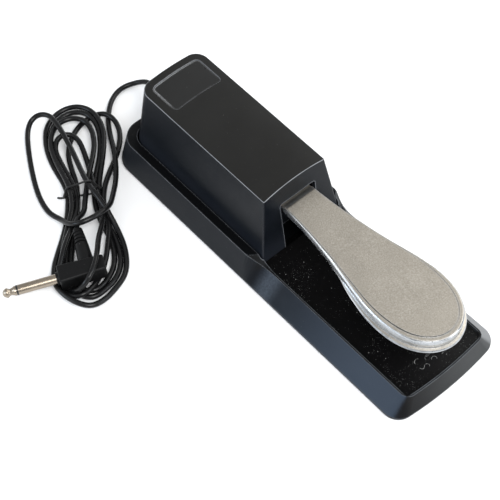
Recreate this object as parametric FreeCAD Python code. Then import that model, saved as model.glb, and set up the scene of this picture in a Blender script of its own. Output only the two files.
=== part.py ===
# Sustain foot pedal for keyboards, one shared frame for every piece.
# +Z up, front (toe of the pedal) towards -Y, X to the right, millimetres.
# Origin: floor level, centre of the base.
import FreeCAD, Part
import math, os
from FreeCAD import Vector as V

# ---------------------------------------------------------------- dimensions
BASE_R = 130.0          # rear edge of the base, from the origin
BASE_F = 133.7          # foremost point of the bowed front edge
BOW = 0.0019            # bow of the front edge, drop = BOW * x * x
HW_L, HW_R = 43.0, 41.3 # left and right edges of the base at the floor, at the toe
HW_RR = 39.5            # right edge beside the housing; the side runs in gently along the border
PAD_T = 1.6             # rubber sole
PAD_INSET = 0.6
LIP_H = 3.0             # vertical lip above the floor before the sides slope
R_FRONT = 11.0          # plan radius, front corners of the base
R_REAR = 16.0           # plan radius, rear corners of the base
RIM_Z = 22.8            # top of the rim round the housing
RIM_L, RIM_R = 38.8, 34.9   # left and right edges of the rim top
RIM_Y = 127.0           # rear edge of the rim top
RIM_IN_Z = 20.6         # rim top slopes down inwards to here
STEP_Y0, STEP_Y1 = 4.0, -16.0   # where the rim drops to the front border
BORDER_Z = 14.2         # top of the front border
BORDER_W = 64.5         # width between the border tops
BORDER_Y = -128.9       # foremost point of the front border top
DECK_Z = 12.6           # sunk deck under the pedal
DECK_TOP_Z = 15.4       # deck height where it meets the housing
FLOOR_T = 3.0           # floor of the well
WALL = 2.5              # plastic wall

COVER_Z0, COVER_H = 7.0, 61.6   # lower edge, height of the side edges of the top
CROWN_Z, CROWN_R = 64.3, 119.0  # the top is crowned across its width
TOP_HW = 24.35          # half width of the housing top
TOP_YF, TOP_YB = 4.4, 119.8
SL_X, SL_F, SL_B = 0.1525, 0.17, 0.05   # flare of the side, front, rear walls
CV_RF, CV_RR = 1.0, 8.5
EDGE_R = 0.8
SLOT_X0, SLOT_X1, SLOT_TOP = -12.9, 15.1, 50.8
LAB_X, LAB_Y0, LAB_Y1, LAB_R = 18.4, 90.4, 113.8, 3.0
LAB_DEPTH, LAB_T = 1.0, 0.6

PLATE_Z = 50.0          # top of the pedal plate at the housing
PLATE_TILT = 1.0        # degrees, toe up
PIV_Y, PIV_Z = 85.0, 40.0
TRAVEL = 7.0            # degrees of pedal travel
ARM_HW, ARM_TOP, ARM_T = 11.5, 48.6, 3.5
FL_T = 2.5
PIN_R = 3.0
BUSH_OR = 4.5
BUSH_IR = 3.06
SPR_Y, SPR_R, SPR_WIRE, SPR_Z0, SPR_Z1, SPR_N = 42.0, 7.2, 1.5, 7.6, 43.1, 7
SW_Y = 66.0
POL_Y = 106.0
CORD_D = 3.5
EX_X, EX_Z = 10.0, 12.0   # cable exit in the rear wall

os.makedirs("parts", exist_ok=True)
DONE = {}

def save(name, shape):
    if isinstance(shape, (list, tuple)):
        shape = Part.makeCompound(list(shape))
    solids = shape.Solids
    if len(solids) == 1:
        shape = solids[0]
    else:
        shape = Part.makeCompound(solids)
    if not shape.isValid():
        print("INVALID", name)
    shape.exportStep("parts/%s.step" % name)
    DONE[name] = shape
    bb = shape.BoundBox
    print("%-20s solids %d vol %9.1f  x %.1f..%.1f y %.1f..%.1f z %.2f..%.2f" % (
        name, len(solids), shape.Volume, bb.XMin, bb.XMax, bb.YMin, bb.YMax, bb.ZMin, bb.ZMax))

def box(x0, x1, y0, y1, z0, z1):
    return Part.makeBox(x1 - x0, y1 - y0, z1 - z0, V(x0, y0, z0))

def cyl(x, y, z0, z1, r):
    return Part.makeCylinder(r, z1 - z0, V(x, y, z0), V(0, 0, 1))

def cyl_dir(p, d, r, l):
    return Part.makeCylinder(r, l, V(*p), V(*d))

def cone_dir(p, d, r0, r1, l):
    return Part.makeCone(r0, r1, l, V(*p), V(*d))

def rr(x0, x1, y0, y1, z, rf, rb):
    """Rounded rectangle wire; rf at the front (low y) corners, rb at the rear."""
    s = math.sqrt(0.5)
    def arc(a, m, b):
        return Part.Arc(V(*a), V(*m), V(*b)).toShape()
    def ln(a, b):
        return Part.LineSegment(V(*a), V(*b)).toShape()
    e = []
    e.append(ln((x0 + rf, y0, z), (x1 - rf, y0, z)))
    e.append(arc((x1 - rf, y0, z), (x1 - rf + rf * s, y0 + rf - rf * s, z), (x1, y0 + rf, z)))
    e.append(ln((x1, y0 + rf, z), (x1, y1 - rb, z)))
    e.append(arc((x1, y1 - rb, z), (x1 - rb + rb * s, y1 - rb + rb * s, z), (x1 - rb, y1, z)))
    e.append(ln((x1 - rb, y1, z), (x0 + rb, y1, z)))
    e.append(arc((x0 + rb, y1, z), (x0 + rb - rb * s, y1 - rb + rb * s, z), (x0, y1 - rb, z)))
    e.append(ln((x0, y1 - rb, z), (x0, y0 + rf, z)))
    e.append(arc((x0, y0 + rf, z), (x0 + rf - rf * s, y0 + rf - rf * s, z), (x0 + rf, y0, z)))
    return Part.Wire(e)

def rrb(x0, x1, y0, y1, z, rf, rb, x1r=None):
    """Rounded rectangle whose front edge bows forward to y0, tangent to its corners."""
    s = math.sqrt(0.5)
    xr = x1 if x1r is None else x1r
    xc = 0.5 * (x0 + x1)
    def corner(sx):
        xe = x0 if sx < 0 else x1
        th = 0.0
        for i in range(6):
            tx = xe - sx * (rf - rf * math.sin(th))
            th = math.atan(2 * BOW * abs(tx - xc))
        ty = y0 + BOW * (tx - xc) ** 2
        cy, cx = ty + rf * math.cos(th), xe - sx * rf
        ph = 0.5 * (math.pi / 2 - th) + 0.0
        m = (cx + sx * rf * math.cos(ph), cy - rf * math.sin(ph), z)
        return (tx, ty, z), m, (xe, cy, z)
    def arc(a, m, b):
        return Part.Arc(V(*a), V(*m), V(*b)).toShape()
    def ln(a, b):
        return Part.LineSegment(V(*a), V(*b)).toShape()
    tl, ml, sl = corner(-1)
    tr, mr, sr = corner(1)
    e = [arc(tl, (xc, y0, z), tr), arc(tr, mr, sr), ln(sr, (xr, y1 - rb, z)),
         arc((xr, y1 - rb, z), (xr - rb + rb * s, y1 - rb + rb * s, z), (xr - rb, y1, z)),
         ln((xr - rb, y1, z), (x0 + rb, y1, z)),
         arc((x0 + rb, y1, z), (x0 + rb - rb * s, y1 - rb + rb * s, z), (x0, y1 - rb, z)),
         ln((x0, y1 - rb, z), sl), arc(sl, ml, tl)]
    return Part.Wire(e)

def above_crown(drop, facets=0):
    """Everything higher than the crowned top lowered by drop; facets makes it of flat strips."""
    r = CROWN_R - drop
    zc = CROWN_Z - CROWN_R
    w = 40.0
    pts = []
    if facets:
        n, h = facets, LAB_X + 2.0
        for i in range(n + 1):
            x = -h + 2 * h * i / n
            pts.append(V(x, -60, zc + math.sqrt(r * r - x * x)))
        pts = [V(-w, -60, pts[0].z)] + pts + [V(w, -60, pts[-1].z), V(w, -60, 100), V(-w, -60, 100)]
        return Part.Face(Part.makePolygon(pts + [pts[0]])).extrude(V(0, 240, 0))
    ze = zc + math.sqrt(r * r - w * w)
    a = Part.Arc(V(-w, -60, ze), V(0, -60, zc + r), V(w, -60, ze)).toShape()
    q = [Part.LineSegment(V(w, -60, ze), V(w, -60, 100)).toShape(), Part.LineSegment(V(w, -60, 100), V(-w, -60, 100)).toShape(),
         Part.LineSegment(V(-w, -60, 100), V(-w, -60, ze)).toShape()]
    return Part.Face(Part.Wire([a] + q)).extrude(V(0, 240, 0))

def loft(wires, ruled=True):
    return Part.makeLoft(wires, True, ruled)

def prism(wire, z0, z1):
    f = Part.Face(wire)
    return f.extrude(V(0, 0, z1 - z0))

def fillet_where(shape, r, test):
    es = [e for e in shape.Edges if test(e)]
    if not es:
        print("no edges for fillet")
        return shape
    try:
        out = shape.makeFillet(r, es)
        if out.isValid() and out.Volume > 0:
            return out.Solids[0] if len(out.Solids) == 1 else out
    except Exception as ex:
        print("fillet skipped", ex)
    return shape

def on_crown(e):
    """True when the middle of the edge lies on the crowned top."""
    p = e.valueAt(0.5 * (e.FirstParameter + e.LastParameter))
    return abs(math.hypot(p.x, p.z - (CROWN_Z - CROWN_R)) - CROWN_R) < 0.03

def at_z(e, z, tol=0.02):
    bb = e.BoundBox
    return abs(bb.ZMin - z) < tol and abs(bb.ZMax - z) < tol


# ---------------------------------------------------------------- sole
pad = prism(rrb(-HW_L + PAD_INSET, HW_R - PAD_INSET, -BASE_F + PAD_INSET, STEP_Y1 + 0.5, 0,
                R_FRONT - PAD_INSET, 0.5, HW_RR - PAD_INSET), 0, PAD_T)
pad = pad.fuse(prism(rr(-HW_L + PAD_INSET, HW_RR - PAD_INSET, STEP_Y1 - 0.5, BASE_R - PAD_INSET, 0, 0.5, R_REAR - PAD_INSET), 0, PAD_T)).removeSplitter()
COVER_SCREWS = [(-17.5, 16.0), (17.5, 16.0), (-17.5, 110.0), (17.5, 110.0)]
for x, y in COVER_SCREWS:
    pad = pad.cut(cyl(x, y, -1, PAD_T + 1, 4.2))
pad = pad.cut(box(-8, 8, POL_Y - 5, POL_Y + 5, -1, PAD_T + 1))
# shallow grip grooves moulded across the sole
for i in range(9):
    gy = -112 + i * 22.0
    pad = pad.cut(box(-34, 34, gy, gy + 1.2, -1, 0.5))
save("bottom_pad", pad)

# ---------------------------------------------------------------- housing outline
def cover_wire(z, off=0.0, offf=None):
    d = COVER_H - z
    hw = TOP_HW + SL_X * d + off
    yf = TOP_YF - SL_F * d - (off if offf is None else offf)
    yb = TOP_YB + SL_B * d + off
    rf = max(0.8, CV_RF + 0.004 * d + off)
    rb = max(0.8, CV_RR + 0.04 * d + off)
    return rr(-hw, hw, yf, yb, z, rf, rb)

# ---------------------------------------------------------------- base chassis
Z0 = PAD_T
lip = prism(rrb(-HW_L, HW_R, -BASE_F, STEP_Y1 + 0.5, Z0, R_FRONT, 0.5, HW_RR), Z0, LIP_H)
lip = lip.fuse(prism(rr(-HW_L, HW_RR, STEP_Y1 - 0.5, BASE_R, Z0, 0.5, R_REAR), Z0, LIP_H)).removeSplitter()
front = loft([rrb(-HW_L, HW_R, -BASE_F, STEP_Y1 + 0.5, LIP_H, R_FRONT, 0.01 + 0.5, HW_RR),
              rrb(-BORDER_W / 2, BORDER_W / 2, BORDER_Y, STEP_Y1 + 0.5, BORDER_Z, 6.0, 0.5)])
rear = loft([rr(-HW_L, HW_RR, STEP_Y0 - 0.5, BASE_R, LIP_H, 0.5, R_REAR),
             rr(-RIM_L, RIM_R, STEP_Y0 - 0.5, RIM_Y, RIM_Z, 0.5, R_REAR - 1.5)])

def sec(y, wl, wr, z):
    pts = [V(-HW_L, y, Z0 + 0.4), V(HW_RR, y, Z0 + 0.4), V(HW_RR, y, LIP_H), V(wr, y, z), V(-wl, y, z), V(-HW_L, y, LIP_H), V(-HW_L, y, Z0 + 0.4)]
    return Part.makePolygon(pts)
# the rim falls in a hollow scoop to the low border
N = 12
secs = []
for i in range(N + 1):
    t = i / float(N)
    y = STEP_Y0 + (STEP_Y1 - STEP_Y0) * t
    if t < 0.12:
        s = 1.6 * t * t / 0.24
    else:
        s0 = 1.6 * 0.12 * 0.12 / 0.24
        u = (t - 0.12) / 0.88
        s = s0 + (1 - s0) * (1 - (1 - u) ** 2.2)
    wl = RIM_L + (BORDER_W / 2 - RIM_L) * s
    wr = RIM_R + (BORDER_W / 2 - RIM_R) * s
    z = RIM_Z + (BORDER_Z - RIM_Z) * s
    secs.append(sec(y, wl, wr, z))
scoop = loft(secs, ruled=True)
outer = lip.fuse([front, rear, scoop]).removeSplitter()

# deck sunk into the front, rising to meet the housing
dx = BORDER_W / 2 - 1.3
deck_pts = [(BORDER_Y - 2.0, DECK_Z), (-34, DECK_Z), (-22, DECK_Z + 0.5), (-12, DECK_Z + 1.5), (-1.0, DECK_TOP_Z)]
poly = [V(-dx, y, z) for y, z in deck_pts] + [V(-dx, -1.0, 40), V(-dx, BORDER_Y - 2.0, 40), V(-dx, BORDER_Y - 2.0, DECK_Z)]
deck_cut = Part.Face(Part.makePolygon(poly)).extrude(V(2 * dx, 0, 0))
corner = prism(rrb(-dx, dx, BORDER_Y + 1.3, 30, DECK_Z - 1, 5.0, 0.5), 0, 40)
deck_cut = deck_cut.common(corner)
chassis = outer.cut(deck_cut)
# well for the housing, following its flare
well = loft([cover_wire(PAD_T + FLOOR_T, 1.3, 0.7), cover_wire(26.0, 1.3, 0.7)])
chassis = chassis.cut(well)
# rim top slopes down towards the housing
slope = loft([cover_wire(RIM_IN_Z, 1.3, 0.7), rr(-RIM_L + 0.4, RIM_R - 0.4, TOP_YF - SL_F * (COVER_H - RIM_Z) - 6, RIM_Y - 0.4, RIM_Z + 0.02, 5.0, R_REAR - 1.9)])
slope = slope.cut(box(-60, 60, -60, -2.0, 0, 40))
chassis = chassis.cut(slope)
# hollow underneath the front border and deck
hol = loft([rrb(-HW_L + 3.0, HW_R - 3.0, -BASE_F + 3.0, -10.0, Z0 - 0.5, 8.0, 2.0, HW_RR - 3.0),
            rrb(-HW_L + 4.0, HW_R - 4.0, -BASE_F + 3.6, -10.0, 4.2, 7.0, 2.0, HW_RR - 4.0)])
hol2 = loft([rrb(-HW_L + 4.0, HW_R - 4.0, -BASE_F + 3.6, -10.0, 4.2, 7.0, 2.0, HW_RR - 4.0),
             rrb(-BORDER_W / 2 + 0.5, BORDER_W / 2 - 0.5, BORDER_Y + 3.0, -10.0, DECK_Z - 2.6, 5.0, 2.0)])
hollow = hol.fuse(hol2)
for x in (-22.0, 0.0, 22.0):
    hollow = hollow.cut(box(x - 0.9, x + 0.9, -140, 0, Z0, 20))
for y in (-98.0, -66.0, -36.0):
    hollow = hollow.cut(box(-60, 60, y - 0.9, y + 0.9, Z0, 20))
chassis = chassis.cut(hollow)
# hollow inside the rim, outside the well
ring_o = loft([rr(-HW_L + 2.6, HW_RR - 2.0, 0.0, BASE_R - 2.6, Z0 - 0.5, 1.0, R_REAR - 2.6),
               rr(-RIM_L + 2.2, RIM_R - 0.7, 0.0, RIM_Y - 2.2, 18.2, 1.0, R_REAR - 3.7)])
ring_i = loft([cover_wire(Z0 - 1.0, 3.3, 2.7), cover_wire(24.0, 3.3, 2.7)])
ring = ring_o.cut(ring_i).cut(box(16.0, 60.0, -20, 140, 0, 30))
for y in (30.0, 62.0, 94.0):
    ring = ring.cut(box(-60, 60, y - 0.9, y + 0.9, Z0, 30))
ring = ring.cut(box(EX_X - 8, EX_X + 8, 110, 140, 0, 30))
chassis = chassis.cut(ring)
# bosses, towers and stops inside the well
FZ = PAD_T + FLOOR_T
adds = []
for x, y in COVER_SCREWS:
    adds.append(cyl(x, y, FZ - 0.2, 9.6, 4.6))
BR_SCREWS = [(-8.0, 81.0), (8.0, 81.0), (-8.0, 95.5), (8.0, 95.5)]
for x, y in BR_SCREWS:
    adds.append(cyl(x, y, FZ - 0.2, 9.6, 3.2))
adds.append(cyl(0, SPR_Y, FZ - 0.2, SPR_Z0, 10.5))
adds.append(cyl(0, SPR_Y, SPR_Z0 - 0.1, 14.0, 5.6))
DS_TOP = 33.4
adds.append(box(-8, 8, 15, 27, FZ - 0.2, DS_TOP).cut(box(-6, 6, 17, 25, 0, DS_TOP - 2.2)))
adds.append(box(3.4, 6.2, 54, 76, FZ - 0.2, 35.6))
adds.append(box(6.0, 13.0, 59, 61, FZ - 0.2, 24.0))
for x in (-1, 1):
    adds.append(box(x * 22.5 - 0.9, x * 22.5 + 0.9, 24, 68, FZ - 0.2, 9.0))
for y in (30.0, 52.0):
    adds.append(box(-23, -11.5, y, y + 1.8, FZ - 0.2, 8.0))
    adds.append(box(11.5, 23, y, y + 1.8, FZ - 0.2, 8.0))
CL_X = EX_X
for s in (-1, 1):
    adds.append(box(CL_X + s * 5.6 - 2.4, CL_X + s * 5.6 + 2.4, 113.6, 118.4, FZ - 0.2, 10.2))
chassis = chassis.fuse(adds)
for x, y in COVER_SCREWS:
    chassis = chassis.cut(cyl(x, y, 0, 30, 1.75)).cut(cyl(x, y, 0, 5.0, 3.4))
for x, y in BR_SCREWS:
    chassis = chassis.cut(cyl(x, y, 4.0, 30, 1.3))
chassis = chassis.cut(box(-3.4, 3.4, POL_Y - 1.9, POL_Y + 1.9, 0, 10))
chassis = chassis.cut(cyl_dir((EX_X, 118, EX_Z), (0, 1, 0), 4.0, 20))
for z in (30.0,):
    for y in (57.5, 73.0):
        chassis = chassis.cut(cyl_dir((2, y, z), (1, 0, 0), 0.95, 6))
for s in (-1, 1):
    chassis = chassis.cut(cyl(CL_X + s * 5.6, 116.0, 5.2, 30, 1.0))
chassis = chassis.removeSplitter()
# soft outer edges
chassis = fillet_where(chassis, 0.5, lambda e: at_z(e, Z0) is False and at_z(e, RIM_Z) and abs(e.BoundBox.XMin) > 30)
save("base_chassis", chassis)

# ---------------------------------------------------------------- housing
cov = loft([cover_wire(COVER_Z0), cover_wire(CROWN_Z + 0.8)]).cut(above_crown(0.0))
cov = fillet_where(cov, EDGE_R, lambda e: e.BoundBox.ZMin > COVER_H - 0.6)
inn = loft([cover_wire(COVER_Z0 - 1, -WALL), cover_wire(CROWN_Z - 1.0, -WALL)]).cut(above_crown(WALL))
cov = cov.cut(inn)
slot = box(SLOT_X0, SLOT_X1, -12, 8.5, 0, SLOT_TOP)
slot = fillet_where(slot, 2.0, lambda e: abs(e.BoundBox.ZMin - SLOT_TOP) < 0.01 and e.BoundBox.YLength > 15 and e.BoundBox.XLength < 0.1)
cov = cov.cut(slot)
pocket = prism(rr(-LAB_X, LAB_X, LAB_Y0, LAB_Y1, 55.0, LAB_R, LAB_R), 55.0, 70.0).common(above_crown(LAB_DEPTH, 8))
cov = cov.cut(pocket)
cov = fillet_where(cov, 0.35, lambda e: e.BoundBox.ZMin > COVER_H + 0.9 and e.BoundBox.YMin > LAB_Y0 - 0.1 and e.BoundBox.YMax < LAB_Y1 + 0.1
                   and abs(e.BoundBox.XMin) < LAB_X + 0.1 and abs(e.BoundBox.XMax) < LAB_X + 0.1 and on_crown(e))
US_Z = 51.2
rib = box(-10.5, 10.5, 12.5, 26, US_Z, COVER_H + 0.6).cut(box(-8.5, 8.5, 14.5, 24, US_Z + 2, COVER_H - 0.5))
cadd = [rib]
for x, y in COVER_SCREWS:
    cadd.append(cyl(x, y, 9.7, COVER_H - 0.4, 3.4))
for y in (44.0, 74.0):
    cadd.append(box(-22.0, 22.0, y, y + 1.6, 54.5, COVER_H + 0.4))
for x in (-1, 1):
    cadd.append(box(x * 15.0 - 0.8, x * 15.0 + 0.8, 10, 117, 55.5, COVER_H - 0.2))
cov = cov.fuse(cadd)
for x, y in COVER_SCREWS:
    cov = cov.cut(cyl(x, y, 9.0, 24.0, 1.25))
# rear notch over the cable
cov = cov.cut(box(EX_X - 7.2, EX_X + 7.2, 112, 130, 0, 19.0))
cov = cov.removeSplitter()
save("tower_cover", cov)

lab = prism(rr(-LAB_X + 0.25, LAB_X - 0.25, LAB_Y0 + 0.25, LAB_Y1 - 0.25, 55.0, LAB_R - 0.25, LAB_R - 0.25), 55.0, 70.0)
lab = lab.common(above_crown(LAB_DEPTH, 8)).cut(above_crown(LAB_DEPTH - LAB_T))
save("label_plate", lab)

# ---------------------------------------------------------------- pedal
HALF = [(-1.5, 10.9), (-13.5, 11.7), (-23.4, 12.6), (-33.3, 13.8), (-45.5, 15.5), (-58.0, 17.6), (-65.3, 18.9),
        (-73.1, 20.2), (-79.2, 21.1), (-86.5, 21.6), (-94.0, 21.5), (-101.5, 20.6), (-108.2, 18.9), (-114.4, 15.9),
        (-119.6, 11.4), (-122.8, 6.0)]
TOE_Y = -124.0
def smooth(a, b, x):
    t = max(0.0, min(1.0, (x - a) / (b - a)))
    return t * t * (3 - 2 * t)
def outline(k0, k1, z, rear=None):
    """Offset the plate outline: k0 at the neck growing to k1 at the toe."""
    L = [(-w, y) for y, w in HALF] + [(0.0, TOE_Y)] + [(w, y) for y, w in reversed(HALF)]
    pts = []
    for i, (x, y) in enumerate(L):
        a = L[max(0, i - 1)]
        b = L[min(len(L) - 1, i + 1)]
        tx, ty = b[0] - a[0], b[1] - a[1]
        n = math.hypot(tx, ty)
        nx, ny = ty / n, -tx / n
        if i == 0 or i == len(L) - 1:
            nx, ny = (-1.0 if i == 0 else 1.0), 0.0
        g = smooth(-16.0, -112.0, y) if x < 0 else smooth(-50.0, -108.0, y)
        k = k0 + (k1 - k0) * g
        pts.append(V(x + nx * k, y + ny * k, z))
    if rear is not None:
        pts[0] = V(pts[0].x, rear, z)
        pts[-1] = V(pts[-1].x, rear, z)
    c = Part.BSplineCurve()
    c.interpolate(pts)
    return Part.Wire([c.toShape(), Part.LineSegment(pts[-1], pts[0]).toShape()])
PZ = PLATE_Z
RY = 8.0
# raised plateau, a fine groove round it, a narrow terrace, rounded shoulder, side wall and bottom lip
top = prism(outline(0.0, 0.0, PZ - 2.4, RY), PZ - 2.4, PZ)
plate = loft([outline(0.55, 2.2, PZ - 0.45, RY), outline(0.62, 2.75, PZ - 0.62, RY), outline(0.72, 3.25, PZ - 1.05, RY), outline(0.8, 3.55, PZ - 1.9, RY),
              outline(0.8, 3.5, PZ - 4.0, RY), outline(0.7, 3.2, PZ - 6.2, RY), outline(0.75, 3.4, PZ - 7.0, RY),
              outline(0.9, 4.9, PZ - 7.4, RY), outline(1.0, 5.3, PZ - 8.0, RY), outline(1.0, 5.3, PZ - 8.9, RY), outline(0.8, 4.6, PZ - 9.6, RY)])
plate = plate.cut(prism(outline(0.42, 0.55, PZ - 1.15, RY + 1.0), PZ - 1.15, PZ + 1.0))
plate = plate.fuse(top)
# behind the plateau the plate falls away into the slot
fall = [V(-60, -2.1, PZ + 0.001), V(-60, -1.4, PZ - 0.09), V(-60, RY + 4, PZ - 0.09 - 0.33 * (RY + 5.4)), V(-60, RY + 4, PZ + 9), V(-60, -2.1, PZ + 9), V(-60, -2.1, PZ + 0.001)]
plate = plate.cut(Part.Face(Part.makePolygon(fall)).extrude(V(120, 0, 0)))
# underside rises towards the neck
und = [V(-60, RY + 20, PZ - 5.4), V(-60, -30, PZ - 5.7), V(-60, -52, PZ - 6.7), V(-60, -74, PZ - 8.5), V(-60, -96, PZ - 10.8), V(-60, -150, PZ - 16.0),
       V(-60, -150, PZ - 40), V(-60, RY + 20, PZ - 40), V(-60, RY + 20, PZ - 5.4)]
plate = plate.cut(Part.Face(Part.makePolygon(und)).extrude(V(120, 0, 0)))
# hollow casting
cav = prism(outline(-1.4, 0.2, PZ - 20, -4.0), 0, 16.6)
for y in (-96.0, -66.0, -36.0):
    cav = cav.cut(box(-40, 40, y - 1.0, y + 1.0, 0, 80))
cav = cav.cut(box(-1.2, 1.2, -200, 20, 0, 80))
plate = plate.cut(cav)
plate.rotate(V(0, 2.0, PZ), V(1, 0, 0), -PLATE_TILT)
arm = box(-ARM_HW, ARM_HW, 2.0, 93.5, ARM_TOP - ARM_T, ARM_TOP)
fl = []
for s in (-1, 1):
    x0, x1 = (ARM_HW - FL_T, ARM_HW) if s > 0 else (-ARM_HW, -ARM_HW + FL_T)
    fl.append(box(x0, x1, 2.0, 93.5, ARM_TOP - 5.2, ARM_TOP))
    pts = [V(x0, 70, ARM_TOP - 5), V(x0, 77, PIV_Z - 6), V(x0, 93.5, PIV_Z - 6), V(x0, 93.5, ARM_TOP - 5), V(x0, 70, ARM_TOP - 5)]
    fl.append(Part.Face(Part.makePolygon(pts)).extrude(V(FL_T, 0, 0)))
tab = box(-2.0, 2.0, SW_Y - 0.7, SW_Y + 0.7, 40.5, ARM_TOP - 1)
tabg = box(-4.0, 4.0, SW_Y - 2.0, SW_Y + 2.0, 43.0, ARM_TOP - 1)
lever = plate.fuse([arm, tab, tabg] + fl)
lever = lever.cut(cyl_dir((-20, PIV_Y, PIV_Z), (1, 0, 0), BUSH_OR, 40))
lever = lever.cut(cyl(0, SPR_Y, 40, ARM_TOP + 1, 2.0))
lever = lever.removeSplitter()
save("pedal_lever", lever)

# ---------------------------------------------------------------- hinge
bush = []
for s in (-1, 1):
    x0 = s * (ARM_HW - FL_T)
    d = (s, 0, 0)
    b = cyl_dir((x0, PIV_Y, PIV_Z), d, BUSH_OR - 0.02, FL_T)
    b = b.fuse(cyl_dir((s * ARM_HW, PIV_Y, PIV_Z), d, 6.2, 1.0))
    b = b.cut(cyl_dir((0, PIV_Y, PIV_Z), d, BUSH_IR, 30))
    bush.append(b)
save("pivot_bushes", bush)

BRZ = 9.6
CH_X = 12.8
bt = 2.0
br = box(-CH_X - bt, CH_X + bt, 77, 99, BRZ, BRZ + bt)
for s in (-1, 1):
    x0 = CH_X if s > 0 else -CH_X - bt
    pts = [V(x0, 77, BRZ), V(x0, 99, BRZ), V(x0, 94, PIV_Z - 4), V(x0, 92.5, PIV_Z + 6.5), V(x0, 77.5, PIV_Z + 6.5), V(x0, 76.5, PIV_Z - 4), V(x0, 77, BRZ)]
    br = br.fuse(Part.Face(Part.makePolygon(pts)).extrude(V(bt, 0, 0)))
br = br.removeSplitter()
br = br.cut(cyl_dir((-20, PIV_Y, PIV_Z), (1, 0, 0), PIN_R + 0.03, 40))
for x, y in BR_SCREWS:
    br = br.cut(cyl(x, y, 5, 20, 1.7))
save("pivot_bracket", br)

PL = CH_X + bt + 2.4
pin = cyl_dir((-PL, PIV_Y, PIV_Z), (1, 0, 0), PIN_R, 2 * PL)
for s in (-1, 1):
    g = cyl_dir((s * (CH_X + bt + 0.3), PIV_Y, PIV_Z), (s, 0, 0), 4.0, 0.8).cut(cyl_dir((s * (CH_X + bt), PIV_Y, PIV_Z), (s, 0, 0), 2.3, 3.0))
    pin = pin.cut(g)
pin = fillet_where(pin, 0.4, lambda e: abs(abs(e.BoundBox.XMin) - PL) < 0.01 and e.BoundBox.XLength < 0.01)
save("pivot_pin", pin)
clips = []
for s in (-1, 1):
    xs = s * (CH_X + bt + 0.38)
    c = cyl_dir((xs, PIV_Y, PIV_Z), (s, 0, 0), 5.2, 0.64).cut(cyl_dir((xs - s, PIV_Y, PIV_Z), (s, 0, 0), 2.36, 3.0))
    c = c.cut(box(-30, 30, PIV_Y - 1.9, PIV_Y + 1.9, PIV_Z - 8, PIV_Z))
    clips.append(c)
save("pivot_clips", clips)

def pan_screw(x, y, z, d, l, hr, hh, up=True):
    s = 1 if up else -1
    sh = Part.makeCylinder(d / 2.0, l, V(x, y, z), V(0, 0, -s))
    hd = Part.makeCylinder(hr, hh, V(x, y, z), V(0, 0, s))
    hd = fillet_where(hd, hh * 0.45, lambda e: abs(e.BoundBox.ZMin - (z + s * hh)) < 0.01 and e.BoundBox.ZLength < 0.01)
    b = sh.fuse(hd)
    w = hr * 0.30
    zc = z + s * hh
    z0, z1 = (zc - hh * 0.55, zc + 1) if up else (zc - 1, zc + hh * 0.55)
    b = b.cut(box(x - hr * 0.62, x + hr * 0.62, y - w / 2, y + w / 2, z0, z1))
    b = b.cut(box(x - w / 2, x + w / 2, y - hr * 0.62, y + hr * 0.62, z0, z1))
    return b.removeSplitter()

save("bracket_screws", [pan_screw(x, y, BRZ + bt, 2.56, 6.6, 2.8, 1.9) for x, y in BR_SCREWS])
save("cover_screws", [pan_screw(x, y, 5.0, 2.46, 14.0, 3.0, 1.9, up=False) for x, y in COVER_SCREWS])

# ---------------------------------------------------------------- return spring
def spring():
    pitch = (SPR_Z1 - SPR_Z0 - SPR_WIRE - 0.1) / SPR_N
    hel = Part.makeHelix(pitch, SPR_Z1 - SPR_Z0 - SPR_WIRE - 0.1, SPR_R)
    hel.translate(V(0, 0, SPR_Z0 + SPR_WIRE / 2 + 0.05))
    circ = Part.Wire([Part.Circle(V(SPR_R, 0, SPR_Z0 + SPR_WIRE / 2 + 0.05), V(0, 1, 0), SPR_WIRE / 2).toShape()])
    w = Part.Wire(hel.Edges)
    s = w.makePipeShell([circ], True, True)
    s.translate(V(0, SPR_Y, 0))
    return s
save("return_spring", spring())
cup = cyl(0, SPR_Y, SPR_Z1, ARM_TOP - ARM_T, 8.6).fuse([cyl(0, SPR_Y, 39.5, SPR_Z1, 5.4), cyl(0, SPR_Y, ARM_TOP - ARM_T, ARM_TOP - 0.4, 1.95)])
save("spring_cup", cup.removeSplitter())

# ---------------------------------------------------------------- stops
felt = box(-9.5, 9.5, 13.5, 25.0, ARM_TOP + 0.05, US_Z)
save("upstop_felt", felt)
rub = box(-7.5, 7.5, 15.5, 26.5, DS_TOP, 36.4)
rub = fillet_where(rub, 0.8, lambda e: at_z(e, 36.4))
save("downstop_rubber", rub)

# ---------------------------------------------------------------- switch
sb = box(-3.2, 3.35, 55.5, 75.5, 25.6, 35.9)
sb = sb.cut(box(-1.5, 1.5, SW_Y - 2.1, SW_Y + 2.1, 30.0, 40))
for y in (57.5, 73.0):
    sb = sb.cut(cyl_dir((-5, y, 30.0), (1, 0, 0), 1.2, 12))
save("switch_body", sb)
plg = box(-1.2, 1.2, SW_Y - 1.8, SW_Y + 1.8, 33.0, 40.3)
plg = fillet_where(plg, 0.5, lambda e: at_z(e, 40.3))
save("switch_plunger", plg)
terms = [box(-0.3, 0.3, y - 1.4, y + 1.4, 21.0, 25.6) for y in (58.5, 65.5, 72.5)]
save("switch_terminals", terms)
def side_screw(y, z):
    b = cyl_dir((-3.2, y, z), (1, 0, 0), 0.93, 9.0).fuse(cyl_dir((-3.2, y, z), (-1, 0, 0), 2.0, 1.3))
    b = b.cut(box(-5, -3.9, y - 0.3, y + 0.3, z - 1.4, z + 1.4)).cut(box(-5, -3.9, y - 1.4, y + 1.4, z - 0.3, z + 0.3))
    return b.removeSplitter()
save("switch_screws", [side_screw(57.5, 30.0), side_screw(73.0, 30.0)])

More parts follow.
